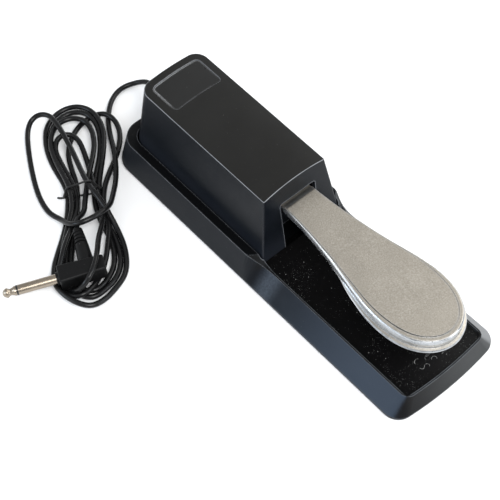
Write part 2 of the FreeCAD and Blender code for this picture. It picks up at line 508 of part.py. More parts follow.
# ---------------------------------------------------------------- polarity switch
pb = box(-7.5, 7.5, POL_Y - 3.4, POL_Y + 3.4, FZ, FZ + 5.6).cut(box(-3.4, 3.4, POL_Y - 1.9, POL_Y + 1.9, FZ - 1, FZ + 3.2))
save("polarity_body", pb)
pk = box(-2.9, 0.3, POL_Y - 1.6, POL_Y + 1.6, 2.1, FZ + 2.6)
pk = pk.cut(box(-2.0, -1.6, POL_Y - 2, POL_Y + 2, 0, 2.5)).cut(box(-1.0, -0.6, POL_Y - 2, POL_Y + 2, 0, 2.5))
save("polarity_knob", pk)
pt = [box(x - 0.25, x + 0.25, POL_Y - 0.8, POL_Y + 0.8, FZ + 5.6, FZ + 8.6) for x in (-4.5, 0.0, 4.5)]
save("polarity_terminals", pt)

# ---------------------------------------------------------------- cable hardware
def fillet_path(pts, scale=0.45):
    """Straight runs joined by tangent arcs; returns the wire and the radii."""
    P = [V(*p) for p in pts]
    edges = []
    radii = []
    prev = P[0]
    for i in range(1, len(P) - 1):
        a, b, c = P[i - 1], P[i], P[i + 1]
        u = (a - b); v = (c - b)
        la, lc = u.Length, v.Length
        u.normalize(); v.normalize()
        turn = math.pi - math.acos(max(-1, min(1, u.dot(v))))
        t = scale * min(la, lc)
        r = t / math.tan(turn / 2.0)
        radii.append(r)
        s = b + u * t
        e = b + v * t
        bis = (u + v); bis.normalize()
        cen = b + bis * (r / math.cos(turn / 2.0))
        mid = cen - bis * r
        if (s - prev).Length > 1e-6:
            edges.append(Part.LineSegment(prev, s).toShape())
        edges.append(Part.Arc(s, mid, e).toShape())
        prev = e
    edges.append(Part.LineSegment(prev, P[-1]).toShape())
    return Part.Wire(edges), radii

def tube(pts, d, name):
    w, radii = fillet_path(pts)
    p0, p1 = V(*pts[0]), V(*pts[1])
    dr = p1 - p0
    dr.normalize()
    c = Part.Wire([Part.Circle(p0, dr, d / 2.0).toShape()])
    s = w.makePipeShell([c], True, False)
    L = w.Length
    print("tube %s length %.1f vol ratio %.4f min radius %.1f radii %s" % (
        name, L, s.Volume / (math.pi * d * d / 4 * L), min(radii), " ".join("%.1f" % r for r in radii)))
    return s

# grommet with a ribbed, tapered strain relief, through the rear wall
y_out = BASE_R - (BASE_R - RIM_Y) * (EX_Z - LIP_H) / (RIM_Z - LIP_H)
gro = cyl_dir((EX_X, 121.5, EX_Z), (0, 1, 0), 3.95, y_out + 1.1 - 121.5)
gro = gro.fuse(cyl_dir((EX_X, 120.2, EX_Z), (0, 1, 0), 5.0, 2.3))
gro = gro.fuse(cyl_dir((EX_X, y_out + 1.0, EX_Z), (0, 1, 0), 5.6, 1.6))
gro = gro.fuse(cone_dir((EX_X, y_out + 2.0, EX_Z), (0, 1, 0), 4.4, 2.5, 16.0))
GEND = y_out + 18.0
for i in range(5):
    yy = y_out + 4.4 + i * 2.7
    gro = gro.cut(cyl_dir((EX_X, yy, EX_Z), (0, 1, 0), 6.0, 1.0).cut(cyl_dir((EX_X, yy - 1, EX_Z), (0, 1, 0), 2.5, 4.0)))
gro = gro.cut(cyl_dir((EX_X, 110, EX_Z), (0, 1, 0), CORD_D / 2 + 0.02, 60))
save("cable_grommet", gro.removeSplitter())
print("grommet end y", GEND)
tail = cyl_dir((EX_X, 107.5, EX_Z), (0, 1, 0), CORD_D / 2, GEND - 107.5)
save("cable_tail", tail)
cl = box(CL_X - 8.0, CL_X + 8.0, 113.8, 118.2, 10.2, 12.4)
cl = cl.fuse(cyl_dir((CL_X, 113.8, EX_Z), (0, 1, 0), CORD_D / 2 + 2.0, 4.4))
cl = cl.cut(box(CL_X - 20, CL_X + 20, 100, 125, 0, 10.2))
cl = cl.cut(cyl_dir((CL_X, 110, EX_Z), (0, 1, 0), CORD_D / 2 + 0.02, 12)).cut(box(CL_X - CORD_D / 2 - 0.02, CL_X + CORD_D / 2 + 0.02, 100, 125, 0, EX_Z))
for s in (-1, 1):
    cl = cl.cut(cyl(CL_X + s * 5.6, 116.0, 5, 30, 1.2))
save("cable_clamp", cl)
save("clamp_screws", [pan_screw(CL_X + s * 5.6, 116.0, 12.4, 1.94, 6.0, 1.9, 1.2) for s in (-1, 1)])
wires = []
WR = 0.6
wires.append(tube([(0, 58.5, 20.9), (-0.2, 58.5, 16.0), (-3.6, 62.0, 13.9), (-3.7, 76.0, 14.1), (-3.6, 92.0, 14.0), (-4.2, 101.0, 16.5), (-4.5, POL_Y, 18.5), (-4.5, POL_Y + 0.2, FZ + 8.7)], 2 * WR, "wire a"))
wires.append(tube([(0, 72.5, 20.9), (0.2, 72.5, 17.0), (2.0, 77.0, 14.4), (2.1, 90.0, 14.2), (2.0, 100.0, 17.4), (4.4, POL_Y, 19.4), (4.5, POL_Y + 0.2, FZ + 8.7)], 2 * WR, "wire b"))
wires.append(tube([(0.0, POL_Y, FZ + 8.7), (0.1, POL_Y - 0.3, 16.5), (5.0, 104.2, 16.8), (8.6, 104.6, 13.4), (EX_X - 0.1, 106.8, EX_Z + 0.2)], 2 * WR, "wire c"))
save("inner_wires", wires)

# ---------------------------------------------------------------- cord outside
LEAD = [(EX_X, GEND, EX_Z), (10.53, 156.5, 9.82), (7.32, 165.93, 3.49), (-3.6, 170.43, 1.92), (-15.2, 166.0, 1.91), (-23.99, 157.6, 1.92)]
ld = V(*LEAD[1]) - V(*LEAD[0])
ld.normalize()
ls = V(*LEAD[0]) - ld * 1.2
lead = tube([(ls.x, ls.y, ls.z)] + LEAD[1:], CORD_D, "cord_lead")
lead = lead.cut(box(0, 20, 100, GEND, 0, 30))
save("cord_lead", lead)

def spline_face(pts, z):
    c = Part.BSplineCurve()
    c.interpolate([V(x, y, z) for x, y in pts], PeriodicFlag=True)
    return Part.Face(Part.Wire([c.toShape()]))
HANK_O = [(-83.0, 124.2), (-80.0, 133.8), (-77.9, 146.2), (-74.1, 157.3), (-67.9, 168.2), (-61.6, 175.6), (-53.7, 179.8), (-45.3, 179.9),
          (-37.3, 176.0), (-31.7, 168.8), (-29.2, 162.4), (-24.2, 157.5), (-23.5, 149.2), (-26.5, 140.7), (-33.4, 132.0), (-43.2, 122.5),
          (-49.6, 113.9), (-57.1, 106.5), (-66.1, 98.7), (-74.8, 92.7), (-79.2, 81.3), (-81.2, 71.3), (-86.1, 60.8), (-92.4, 53.3),
          (-101.2, 48.1), (-111.3, 46.0), (-119.9, 44.9), (-125.4, 47.5), (-129.4, 53.8), (-132.7, 61.0), (-131.6, 70.4), (-125.7, 79.6),
          (-117.3, 88.5), (-105.9, 98.3), (-99.1, 104.9), (-90.6, 115.3)]
HANK_HU = [(-52.9, 154.9), (-47.1, 158.0), (-41.2, 158.4), (-39.3, 153.9), (-42.9, 146.0), (-50.8, 136.6), (-58.7, 129.2), (-63.4, 126.4),
           (-64.3, 129.9), (-60.2, 137.7), (-55.3, 147.8)]
HANK_HL = [(-82.9, 86.3), (-86.2, 77.5), (-92.6, 66.5), (-99.3, 59.4), (-106.9, 56.4), (-109.4, 58.2), (-104.6, 62.0), (-97.6, 67.7), (-89.2, 76.7)]
HANK_W = [(-83.3, 123.8), (-95.0, 110.0), (-101.2, 101.2), (-104.5, 91.6), (-93.8, 83.7), (-77.1, 89.0), (-68.8, 93.6), (-66.8, 103.1), (-67.6, 116.9), (-74.3, 123.7)]
H0 = 0.15
hank = spline_face(HANK_O, H0).extrude(V(0, 0, 9.2 - H0))
hank = fillet_where(hank, 2.0, lambda e: at_z(e, 9.2))
hank = hank.cut([spline_face(HANK_HU, -1).extrude(V(0, 0, 30)), spline_face(HANK_HL, -1).extrude(V(0, 0, 30))])
waist = spline_face(HANK_W, H0 + 0.5).extrude(V(0, 0, 16.6 - H0 - 0.5))
waist = fillet_where(waist, 2.5, lambda e: at_z(e, 16.6))
LOOP = [(-94.0, 106.0, 4.5), (-99.8, 113.5, 2.2), (-101.0, 124.0, 1.95), (-97.6, 137.0, 1.95), (-91.0, 151.5, 1.95), (-82.6, 166.2, 1.95), (-76.6, 179.77, 1.91),
        (-67.66, 188.48, 1.91), (-55.95, 186.96, 3.01), (-50.03, 176.87, 4.94), (-53.81, 166.28, 6.09)]
loop = tube(LOOP, CORD_D, "hank side loop")
dv = V(*LEAD[-1]) - V(*LEAD[-2])
dv.normalize()
stub = Part.makeCylinder(CORD_D / 2, 7.0, V(*LEAD[-1]), dv)
hank = hank.fuse([waist, loop, stub])

# plug: a right-angled moulded body on a 6.35 mm mono jack, lying on the floor beside the hank
PLUG_R = 3.175
R0 = V(-128.5, 73.1, 8.8)
U = V(-31.3, 14.9, -2.5)
U.normalize()
ZUP = V(0, 0, 1)
Wd = U.cross(ZUP)
Wd.normalize()
Wd = Wd * -1.0
if Wd.y < 0:
    Wd = Wd * -1.0
NU = Wd.cross(U)
if NU.z < 0:
    NU = NU * -1.0
def loc(a, b, c):
    """a along the pin, b sideways (towards the cable), c up."""
    return R0 + U * a + Wd * b + NU * c
def lbox(pts_bottom, pts_top):
    def poly(P):
        Q = [loc(*p) for p in P]
        return Part.makePolygon(Q + [Q[0]])
    return Part.makeLoft([poly(pts_bottom), poly(pts_top)], True, True)
BL, BH = 29.0, 5.6
body = lbox([(0, -6.3, -BH), (0, 6.3, -BH), (-BL, 5.4, -BH), (-BL, -5.2, -BH)], [(0, -6.3, BH), (0, 6.3, BH), (-BL, 5.4, BH), (-BL, -5.2, BH)])
body = fillet_where(body, 1.2, lambda e: True)
BS = 18.2
barrel = Part.makeCone(5.1, 4.3, 16.0, loc(-BS, 2.0, 0), Wd)
barrel = barrel.fuse(Part.makeCone(4.3, 3.1, 12.5, loc(-BS, 18.0, 0), Wd))
for i in range(4):
    k = 19.2 + i * 2.6
    barrel = barrel.cut(Part.makeCylinder(7, 1.1, loc(-BS, k, 0), Wd).cut(Part.makeCylinder(2.7, 3, loc(-BS, k - 1, 0), Wd)))
BEND = 30.5
plug = body.fuse(barrel).removeSplitter()
collar = Part.makeCylinder(4.2, 1.6, loc(0, 0, 0), U)
plug = plug.fuse(collar).removeSplitter()
save("plug_body", plug)
SLV0, SLV1 = 1.6, 25.4
save("plug_sleeve", Part.makeCylinder(PLUG_R, SLV1 - SLV0, loc(SLV0, 0, 0), U).cut(Part.makeCylinder(1.5, 20, loc(SLV1 - 8, 0, 0), U)))
save("plug_insulator", Part.makeCylinder(PLUG_R, 1.1, loc(SLV1, 0, 0), U).cut(Part.makeCylinder(1.5, 4, loc(SLV1 - 1, 0, 0), U)))
# tip: neck, groove and rounded cone
prof2 = [(0, 0), (0, 1.5), (SLV1 + 1.1 - (SLV1 - 8), 1.5), (SLV1 + 1.1 - (SLV1 - 8), 3.0), (10.2, 3.05), (11.6, 2.35), (12.9, 2.05), (13.7, 2.5), (14.4, 3.0), (14.9, 3.1), (15.5, 2.95), (16.9, 2.0), (17.5, 1.1), (17.7, 0.0)]
tp = [loc(SLV1 - 8 + a, 0, 0) + NU * r for a, r in prof2]
tipf = Part.Face(Part.makePolygon(tp + [tp[0]]))
save("plug_tip", tipf.revolve(loc(0, 0, 0), U, 360))
keep = lbox([(0.4, -6.6, -BH - 0.3), (0.4, 6.6, -BH - 0.3), (-BL - 0.4, 5.8, -BH - 0.3), (-BL - 0.4, -5.6, -BH - 0.3)],
            [(0.4, -6.6, BH + 0.3), (0.4, 6.6, BH + 0.3), (-BL - 0.4, 5.8, BH + 0.3), (-BL - 0.4, -5.6, BH + 0.3)])
keep = keep.fuse(Part.makeCylinder(5.4, BEND - 1.0, loc(-BS, 1.0, 0), Wd))
keep = keep.fuse(Part.makeCylinder(4.6, 12, loc(-1, 0, 0), U))

# thin plastic-covered tie round the waist
TA, TB = V(-84.6, 122.6, 0), V(-66.4, 112.2, 0)
tc = TB - TA
tl = tc.Length
tc.normalize()
def frame_ring(s0, s1, z0, z1, w, t):
    """flat rectangular band round the strands, across the waist"""
    nn = V(-tc.y, tc.x, 0)
    def P(s, z, o):
        p = TA + tc * s + nn * o
        return V(p.x, p.y, z)
    def slab(a, b, c, d):
        q = [P(a, c, -w / 2), P(b, c, -w / 2), P(b, d, -w / 2), P(a, d, -w / 2)]
        f = Part.Face(Part.makePolygon(q + [q[0]]))
        return f.extrude(nn * w)
    o = slab(s0 - t, s1 + t, z0 - t, z1 + t)
    o = fillet_where(o, 2.4, lambda e: e.Length < w + 0.01 and e.Length > w - 0.01)
    i = slab(s0, s1, z0, z1)
    i = fillet_where(i, 1.6, lambda e: e.Length < w + 0.01 and e.Length > w - 0.01)
    return o.cut(i), i, P
band, inside, PP = frame_ring(-0.4, tl + 0.4, 1.0, 16.0, 1.8, 0.8)
tail2 = Part.makeCylinder(0.75, 7.5, PP(-0.6, 3.0, 0), V(-0.62, 0.12, -0.2))
tie = band.fuse(tail2).removeSplitter()
save("cord_tie", tie)
slabcut, _, _ = frame_ring(-0.4, tl + 0.4, 1.0, 16.0, 2.2, 12.0)
hank = hank.cut([keep, slabcut, lead])
sol = sorted(hank.Solids, key=lambda q: -q.Volume)
print("hank solids", [round(q.Volume, 1) for q in sol])
save("cord_hank", sol[0])
print("done", len(DONE))
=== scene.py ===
import math

import bpy
import bmesh
from mathutils import Matrix, Vector


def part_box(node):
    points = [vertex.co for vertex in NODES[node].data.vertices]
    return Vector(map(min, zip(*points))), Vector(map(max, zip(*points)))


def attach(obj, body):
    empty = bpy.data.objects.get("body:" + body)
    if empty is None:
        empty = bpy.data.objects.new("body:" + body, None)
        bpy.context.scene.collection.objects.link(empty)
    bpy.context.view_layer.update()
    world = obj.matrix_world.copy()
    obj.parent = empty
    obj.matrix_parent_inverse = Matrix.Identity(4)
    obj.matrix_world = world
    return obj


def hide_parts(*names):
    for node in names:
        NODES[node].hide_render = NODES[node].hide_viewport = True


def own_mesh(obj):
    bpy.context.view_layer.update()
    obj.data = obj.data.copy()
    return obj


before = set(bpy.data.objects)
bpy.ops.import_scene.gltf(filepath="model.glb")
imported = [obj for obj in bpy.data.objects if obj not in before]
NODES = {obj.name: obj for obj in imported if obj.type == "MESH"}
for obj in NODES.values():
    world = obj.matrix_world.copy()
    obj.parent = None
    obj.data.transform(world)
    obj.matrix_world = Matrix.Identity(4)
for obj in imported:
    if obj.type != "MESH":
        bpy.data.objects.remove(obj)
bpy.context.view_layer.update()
scene = bpy.context.scene
MM = 0.001

# ------------------------------------------------------------------ camera
cam_data = bpy.data.cameras.new("cam")
cam_data.sensor_width = 36.0
cam_data.lens = 103.62
cam_data.clip_start = 0.05
cam_data.clip_end = 20.0
cam = bpy.data.objects.new("cam", cam_data)
scene.collection.objects.link(cam)
cam.location = (-0.354681, -0.354999, 0.742025)
cam.rotation_euler = (math.radians(33.8), 0.0, math.radians(-41.65))
scene.camera = cam

# ------------------------------------------------------------------ cord
CORD_D = 3.5
LEAD = [(10.0, 146.636, 12.0), (10.53, 156.5, 9.82), (7.32, 165.93, 3.49),
        (-3.6, 170.43, 1.92), (-15.2, 166.0, 1.91), (-23.99, 157.6, 1.92)]
COIL = [
    (-28.80, 151.46, 2.18), (-34.91, 141.73, 3.42), (-40.64, 130.20, 4.66), (-48.75, 117.99, 4.96), (-56.76, 108.27, 6.19),
    (-65.60, 99.85, 8.93), (-72.37, 93.13, 12.66), (-81.21, 90.40, 15.25), (-90.69, 91.16, 15.80), (-97.53, 94.03, 14.45),
    (-100.15, 100.64, 9.80), (-99.88, 109.89, 4.74), (-101.66, 118.24, 2.94), (-100.39, 128.07, 2.25), (-96.64, 139.36, 1.86),
    (-90.24, 152.74, 1.75), (-82.31, 167.05, 1.80), (-74.34, 179.31, 2.53), (-67.78, 184.99, 4.42), (-62.55, 185.33, 6.48),
    (-58.40, 182.82, 7.81), (-55.88, 177.31, 8.77), (-57.42, 166.71, 10.10), (-60.64, 153.95, 10.62), (-64.21, 141.39, 10.12),
    (-68.49, 129.13, 10.60), (-72.11, 118.19, 12.18), (-74.05, 107.68, 13.03), (-74.89, 97.75, 11.60), (-76.00, 89.00, 7.17),
    (-77.58, 80.33, 2.92), (-81.21, 69.73, 2.10), (-87.20, 59.51, 1.80), (-94.64, 52.14, 1.75), (-104.03, 48.64, 1.96),
    (-114.66, 46.07, 2.58), (-123.90, 46.87, 3.56), (-129.38, 53.14, 4.56), (-132.23, 63.12, 4.70), (-131.86, 74.04, 3.80),
    (-125.54, 83.94, 2.88), (-115.63, 92.28, 2.04), (-105.67, 99.98, 1.76), (-97.36, 107.18, 1.77), (-90.15, 115.35, 1.77),
    (-84.01, 123.01, 1.77), (-80.04, 132.89, 1.77), (-77.86, 144.68, 1.77), (-74.31, 156.33, 1.78), (-68.73, 167.19, 1.76),
    (-61.65, 175.86, 1.80), (-52.49, 180.20, 2.21), (-43.44, 180.02, 3.16), (-35.73, 175.48, 4.42), (-31.66, 166.18, 5.64),
    (-33.10, 153.93, 6.86), (-38.20, 143.43, 6.41), (-46.25, 134.10, 5.12), (-54.74, 125.80, 3.57), (-62.51, 118.51, 2.36),
    (-69.34, 109.96, 1.82), (-74.30, 101.18, 1.75), (-78.20, 89.90, 1.83), (-81.68, 78.60, 1.72), (-86.08, 67.74, 2.10),
    (-92.41, 58.94, 2.30), (-100.73, 53.60, 2.26), (-109.36, 52.15, 1.67), (-118.08, 51.69, 1.93), (-123.41, 56.49, 1.75),
    (-124.28, 64.72, 1.79), (-122.20, 74.01, 1.75), (-117.13, 82.21, 1.78), (-109.70, 90.65, 1.75), (-101.53, 99.08, 1.85),
    (-93.68, 106.76, 2.02), (-86.90, 114.41, 1.67), (-81.75, 120.92, 2.02), (-77.63, 130.30, 2.05), (-75.18, 142.00, 1.73),
    (-72.17, 153.17, 1.81), (-66.86, 163.96, 2.04), (-60.17, 171.81, 2.40), (-51.86, 175.37, 3.13), (-43.99, 174.46, 4.32),
    (-37.67, 169.77, 5.28), (-34.94, 162.16, 5.59), (-36.53, 152.42, 5.24), (-41.83, 143.16, 3.98), (-49.83, 133.86, 2.85),
    (-58.15, 126.58, 2.10), (-65.32, 119.95, 1.74), (-72.35, 111.22, 1.78), (-77.58, 102.29, 1.98), (-81.83, 91.00, 2.20),
    (-84.11, 80.58, 1.72), (-88.58, 70.28, 1.82), (-95.25, 61.92, 1.87), (-103.67, 57.10, 1.75), (-112.66, 54.96, 1.78),
    (-118.95, 58.10, 1.71), (-121.30, 64.45, 2.02), (-118.94, 73.98, 1.75), (-113.53, 81.92, 1.77), (-106.47, 89.54, 1.81),
    (-99.09, 97.20, 1.77), (-91.28, 104.84, 1.77), (-84.68, 112.15, 1.77), (-79.33, 119.06, 1.77), (-73.92, 127.70, 1.77),
    (-69.82, 137.67, 1.77), (-65.19, 147.37, 1.78), (-59.35, 154.44, 1.80), (-50.37, 160.60, 1.74), (-40.46, 163.96, 1.87),
    (-31.34, 162.92, 3.09), (-25.63, 157.71, 4.92), (-24.70, 148.71, 5.00), (-28.23, 139.33, 3.62), (-35.84, 131.28, 2.18),
    (-45.48, 124.71, 1.66), (-54.69, 118.93, 1.98), (-63.21, 112.13, 2.83), (-70.39, 104.13, 3.96), (-75.66, 95.00, 4.78),
    (-80.53, 84.55, 5.05), (-87.97, 77.06, 4.47), (-95.00, 70.14, 2.46), (-103.40, 63.49, 1.53), (-112.94, 57.83, 3.88),
    (-122.39, 55.75, 5.26), (-128.65, 59.61, 3.63), (-130.90, 68.91, 1.35), (-126.31, 78.85, 2.43), (-118.54, 84.45, 5.82),
    (-111.44, 90.06, 8.21), (-102.74, 95.79, 8.55), (-94.13, 102.30, 6.75), (-86.37, 109.97, 5.09), (-80.51, 118.70, 4.63),
    (-76.43, 129.28, 4.74), (-73.40, 142.56, 4.25), (-69.88, 154.59, 4.63), (-65.40, 159.63, 6.21), (-61.04, 160.53, 7.29),
    (-57.28, 159.36, 7.54), (-54.26, 156.39, 6.96), (-52.97, 150.80, 5.31), (-56.90, 139.65, 3.64), (-62.99, 126.96, 3.86),
    (-68.25, 115.78, 5.01), (-72.38, 105.06, 6.60), (-77.09, 95.47, 8.15), (-85.02, 85.59, 11.17), (-94.70, 76.84, 15.16),
    (-102.48, 67.54, 17.97), (-110.88, 60.11, 18.43), (-118.76, 56.67, 15.45), (-124.68, 58.80, 8.01), (-127.25, 64.92, 1.74),
    (-125.62, 73.43, 1.68), (-120.53, 82.61, 1.80), (-113.15, 90.96, 3.25), (-105.41, 97.37, 4.49), (-97.66, 103.71, 5.74),
    (-89.90, 109.84, 7.43), (-84.82, 117.28, 8.56), (-80.86, 126.35, 9.20), (-77.75, 138.01, 8.26), (-74.24, 149.69, 7.19),
    (-68.92, 161.05, 6.73), (-61.10, 168.66, 6.17), (-52.69, 170.93, 6.10), (-45.27, 168.48, 6.31), (-40.52, 161.83, 6.54),
    (-41.44, 152.26, 6.63), (-47.50, 141.77, 6.77), (-55.60, 133.20, 7.06), (-64.27, 125.55, 7.11), (-72.46, 117.98, 6.79),
    (-79.92, 110.18, 6.23), (-86.34, 102.86, 6.13), (-95.56, 100.06, 10.11), (-99.34, 92.11, 10.11),
]

def mm(p):
    return Vector((p[0] * MM, p[1] * MM, p[2] * MM))


def nurbs_line(name, points, diameter, order=3, cyclic=False, bevel_res=5, res_u=8):
    """One smooth spline through space whose control points are the route's points."""
    cu = bpy.data.curves.new(name, "CURVE")
    cu.dimensions = "3D"
    sp = cu.splines.new("NURBS")
    sp.points.add(len(points) - 1)
    for k, p in enumerate(points):
        q = mm(p)
        sp.points[k].co = (q.x, q.y, q.z, 1.0)
    sp.use_cyclic_u = cyclic
    sp.order_u = order
    if not cyclic:
        sp.use_endpoint_u = True
    sp.resolution_u = res_u
    cu.resolution_u = res_u
    cu.bevel_depth = diameter * 0.5 * MM
    cu.bevel_resolution = bevel_res
    cu.use_fill_caps = True
    ob = bpy.data.objects.new(name, cu)
    scene.collection.objects.link(ob)
    return ob


def line_points(ob):
    """Points along a curve object's own line, in millimetres."""
    cu = ob.data.copy()
    cu.bevel_depth = 0.0
    tmp = bpy.data.objects.new("line_tmp", cu)
    scene.collection.objects.link(tmp)
    bpy.context.view_layer.update()
    me = bpy.data.meshes.new_from_object(tmp)
    pts = [v.co.copy() / MM for v in me.vertices]
    bpy.data.objects.remove(tmp)
    bpy.data.meshes.remove(me)
    bpy.data.curves.remove(cu)
    return pts


cord = nurbs_line("cord", LEAD + COIL, CORD_D)

# ------------------------------------------------------------------ node helpers
class Graph:
    def __init__(self, name):
        self.mat = bpy.data.materials.new(name)
        self.mat.use_nodes = True
        self.nt = self.mat.node_tree
        self.b = self.nt.nodes["Principled BSDF"]
        self.co = self.nt.nodes.new("ShaderNodeTexCoord").outputs["Object"]

    def link(self, a, b):
        self.nt.links.new(a, b)

    def put(self, sock, v):
        if isinstance(v, bpy.types.NodeSocket):
            self.link(v, sock)
        else:
            sock.default_value = v

    def noise(self, scale, detail=3.0, rough=0.55, vec=None, distortion=0.0):
        n = self.nt.nodes.new("ShaderNodeTexNoise")
        n.inputs["Scale"].default_value = scale
        n.inputs["Detail"].default_value = detail
        n.inputs["Roughness"].default_value = rough
        n.inputs["Distortion"].default_value = distortion
        self.link(vec or self.co, n.inputs["Vector"])
        return n.outputs["Fac"]

    def voronoi(self, scale, vec=None, feature="F1"):
        n = self.nt.nodes.new("ShaderNodeTexVoronoi")
        n.feature = feature
        n.inputs["Scale"].default_value = scale
        self.link(vec or self.co, n.inputs["Vector"])
        return n

    def stretch(self, s, vec=None, rot=(0, 0, 0)):
        n = self.nt.nodes.new("ShaderNodeMapping")
        n.inputs["Scale"].default_value = s
        n.inputs["Rotation"].default_value = rot
        self.link(vec or self.co, n.inputs["Vector"])
        return n.outputs["Vector"]

    def ramp(self, v, lo, hi, a=0.0, b=1.0, smooth=True):
        n = self.nt.nodes.new("ShaderNodeMapRange")
        n.interpolation_type = "SMOOTHSTEP" if smooth else "LINEAR"
        n.inputs["From Min"].default_value = lo
        n.inputs["From Max"].default_value = hi
        n.inputs["To Min"].default_value = a
        n.inputs["To Max"].default_value = b
        self.link(v, n.inputs["Value"])
        return n.outputs["Result"]

    def math(self, op, a, b=0.0, clamp=False):
        n = self.nt.nodes.new("ShaderNodeMath")
        n.operation = op
        n.use_clamp = clamp
        self.put(n.inputs[0], a)
        self.put(n.inputs[1], b)
        return n.outputs[0]

    def mix(self, f, a, b):
        n = self.nt.nodes.new("ShaderNodeMix")
        n.data_type = "RGBA"
        self.put(n.inputs[0], f)
        self.put(n.inputs[6], a if isinstance(a, bpy.types.NodeSocket) else (a[0], a[1], a[2], 1.0))
        self.put(n.inputs[7], b if isinstance(b, bpy.types.NodeSocket) else (b[0], b[1], b[2], 1.0))
        return n.outputs[2]

    def xyz(self, vec=None):
        n = self.nt.nodes.new("ShaderNodeSeparateXYZ")
        self.link(vec or self.co, n.inputs[0])
        return n.outputs[0], n.outputs[1], n.outputs[2]

    def band(self, v, lo, hi, soft):
        """1 between lo and hi, fading over soft."""
        return self.math("MULTIPLY", self.ramp(v, lo - soft, lo, 0, 1), self.ramp(v, hi, hi + soft, 1, 0))

    def edge(self, radius, lo=0.02, hi=0.25):
        """Where the surface turns a corner."""
        be = self.nt.nodes.new("ShaderNodeBevel")
        be.samples = 6
        be.inputs["Radius"].default_value = radius
        ge = self.nt.nodes.new("ShaderNodeNewGeometry")
        d = self.nt.nodes.new("ShaderNodeVectorMath")
        d.operation = "DOT_PRODUCT"
        self.link(be.outputs["Normal"], d.inputs[0])
        self.link(ge.outputs["Normal"], d.inputs[1])
        return self.ramp(self.math("SUBTRACT", 1.0, d.outputs["Value"]), lo, hi)

    def bump(self, h, strength, dist, base=None):
        n = self.nt.nodes.new("ShaderNodeBump")
        n.inputs["Strength"].default_value = strength
        n.inputs["Distance"].default_value = dist
        self.link(h, n.inputs["Height"])
        if base is not None:
            self.link(base, n.inputs["Normal"])
        return n.outputs["Normal"]

    def set(self, **kw):
        names = {"color": "Base Color", "metal": "Metallic", "rough": "Roughness", "normal": "Normal", "ior": "IOR",
                 "spec": "Specular IOR Level", "coat": "Coat Weight", "coat_rough": "Coat Roughness",
                 "sheen": "Sheen Weight", "sheen_rough": "Sheen Roughness", "alpha": "Alpha",
                 "subsurf": "Subsurface Weight", "aniso": "Anisotropic"}
        for k, v in kw.items():
            if isinstance(v, tuple):
                v = (v[0], v[1], v[2], 1.0)
            self.put(self.b.inputs[names[k]], v)
        return self.mat


def specks(g, scale, size, share, vec=None):
    """Scattered tiny dots: a share of the cells of a cell pattern carry one."""
    v = g.voronoi(scale, vec)
    dot = g.ramp(v.outputs["Distance"], size * 0.55, size, 1, 0)
    pick = g.nt.nodes.new("ShaderNodeSeparateColor")
    g.link(v.outputs["Color"], pick.inputs[0])
    on = g.ramp(pick.outputs[0], 1.0 - share, 1.0 - share + 0.01, 0, 1)
    return g.math("MULTIPLY", dot, on)


# ------------------------------------------------------------------ materials
def facing_up(g, lo, hi):
    """1 where the surface faces upwards."""
    ge = g.nt.nodes.new("ShaderNodeNewGeometry")
    nx, ny, nz = g.xyz(ge.outputs["Normal"])
    return g.ramp(nz, lo, hi)


